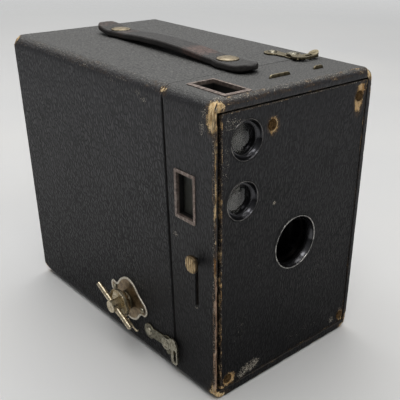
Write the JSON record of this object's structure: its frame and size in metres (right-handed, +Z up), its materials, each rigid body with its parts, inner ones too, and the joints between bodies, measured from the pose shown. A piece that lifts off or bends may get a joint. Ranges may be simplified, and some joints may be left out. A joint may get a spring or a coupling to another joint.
{
  "type": "box camera",
  "caption": "Leatherette-covered box roll-film camera with twin reflecting finders, side shutter lever, winding key, strap handle and a pull-off front section carrying lens and film carrier.",
  "frame": {"origin": "centre of the underside, on the covering", "axes": "+Z up, front face and lens towards -Y, winding key on the -X side"},
  "size_m": [0.0988, 0.1513, 0.1367],
  "materials": {
    "leatherette": "pebbled, worn",
    "shell_board": "plain grey-tan board",
    "black_wood": "blackened wood",
    "black_metal": "matt black lacquer",
    "nickel": "tarnished nickel plate",
    "brass": "aged brass",
    "window_metal": "oxidised brown",
    "strap": "worn black-brown leather",
    "lens_glass": "clear",
    "screen_glass": "ground",
    "red_glass": "red",
    "mirror": "silvered",
    "steel": "plain strip",
    "light_cone_board": "blackened board"
  },
  "bodies": {
    "casing": {"casing_shell": "shell_board", "casing_cover": "leatherette", "window_ring": "black_metal", "red_window": "red_glass", "tripod_bushes": "nickel", "key_escutcheon": "nickel", "escutcheon_rivets": "nickel", "key_bearing": "brass", "key_clip": "nickel", "side_latch_plate": "nickel", "top_latch_plate": "nickel", "latch_rivets": "nickel", "handle_strap": "strap", "handle_studs": "brass", "handle_washers": "steel"},
    "key_slider": {"key_collar": "nickel"},
    "key": {"key_shaft": "nickel", "key_crossbar": "nickel", "key_cup": "nickel"},
    "side_latch": {"side_latch_hook": "nickel"},
    "top_latch": {"top_latch_hook": "nickel"},
    "front_section": {"front_frame": "shell_board", "front_cover": "leatherette", "latch_studs": "brass", "front_panel": "black_wood", "front_panel_cover": "leatherette", "panel_nails": "steel", "finder_bezels": "black_metal", "finder_lenses": "lens_glass", "finder_housing_upper": "black_metal", "finder_housing_lower": "black_metal", "finder_mirrors": "mirror", "finder_screens": "screen_glass", "top_window_frame": "window_metal", "side_window_frame": "window_metal", "lens_flange_ring": "nickel", "lens_funnel": "black_metal", "lens_board": "black_wood", "shutter_plate": "steel", "board_screws": "steel", "shutter_pivots": "brass", "strip_guides": "steel", "taking_lens": "lens_glass", "lens_retainer": "black_metal", "light_trap_collar": "black_metal", "light_cone": "light_cone_board", "carrier_side_left": "black_wood", "carrier_side_right": "black_wood", "spool_pins": "steel"},
    "lever": {"shutter_lever": "steel", "shutter_knob": "brass"},
    "disc": {"shutter_disc": "steel"},
    "stops": {"stop_strip": "nickel"},
    "timer": {"time_strip": "nickel"},
    "takeup": {"takeup_spool": "black_metal", "takeup_driver": "brass"},
    "supply": {"supply_spool": "black_metal"},
    "roller_lower": {"film_roller_lower": "nickel"},
    "roller_upper": {"film_roller_upper": "nickel"}
  },
  "joints": [
    {"name": "front_pull", "type": "slide", "parent": "casing", "child": "front_section", "axis": [0, -1, 0], "range_m": [0, 0.115]},
    {"name": "side_latch_turn", "type": "hinge", "parent": "casing", "child": "side_latch", "pos_m": [-0.0456, -0.04345, 0.0142], "axis": [-1, 0, 0], "range_deg": [0, 70]},
    {"name": "top_latch_turn", "type": "hinge", "parent": "casing", "child": "top_latch", "pos_m": [0.0286, -0.04335, 0.1329], "axis": [0, 0, 1], "range_deg": [0, 60]},
    {"name": "key_pull", "type": "slide", "parent": "casing", "child": "key_slider", "axis": [-1, 0, 0], "range_m": [0, 0.004]},
    {"name": "key_turn", "type": "hinge", "parent": "key_slider", "child": "key", "pos_m": [-0.047, -0.01235, 0.0222], "axis": [-1, 0, 0], "continuous": true},
    {"name": "takeup_turn", "type": "hinge", "parent": "front_section", "child": "takeup", "pos_m": [0, -0.01235, 0.0222], "axis": [-1, 0, 0], "continuous": true},
    {"name": "supply_turn", "type": "hinge", "parent": "front_section", "child": "supply", "pos_m": [0, -0.01235, 0.1096], "axis": [-1, 0, 0], "continuous": true},
    {"name": "roller_lower_turn", "type": "hinge", "parent": "front_section", "child": "roller_lower", "pos_m": [0, 0.06515, 0.0082], "axis": [-1, 0, 0], "continuous": true},
    {"name": "roller_upper_turn", "type": "hinge", "parent": "front_section", "child": "roller_upper", "pos_m": [0, 0.06515, 0.1229], "axis": [-1, 0, 0], "continuous": true},
    {"name": "lever_swing", "type": "hinge", "parent": "front_section", "child": "lever", "pos_m": [-0.01, -0.06475, 0.0557], "axis": [0, -1, 0], "range_deg": [0, 30.8]},
    {"name": "disc_swing", "type": "hinge", "parent": "front_section", "child": "disc", "pos_m": [0.017, -0.06265, 0.054], "axis": [0, 1, 0], "range_deg": [0, 87.5]},
    {"name": "stop_slide", "type": "slide", "parent": "front_section", "child": "stops", "axis": [0, 0, 1], "range_m": [0, 0.024]},
    {"name": "time_slide", "type": "slide", "parent": "front_section", "child": "timer", "axis": [0, 0, 1], "range_m": [0, 0.005]}
  ],
  "couplings": [
    {"joint": "takeup_turn", "follows": "key_turn", "ratio": 1},
    {"joint": "disc_swing", "follows": "lever_swing", "ratio": 2.82}
  ]
}
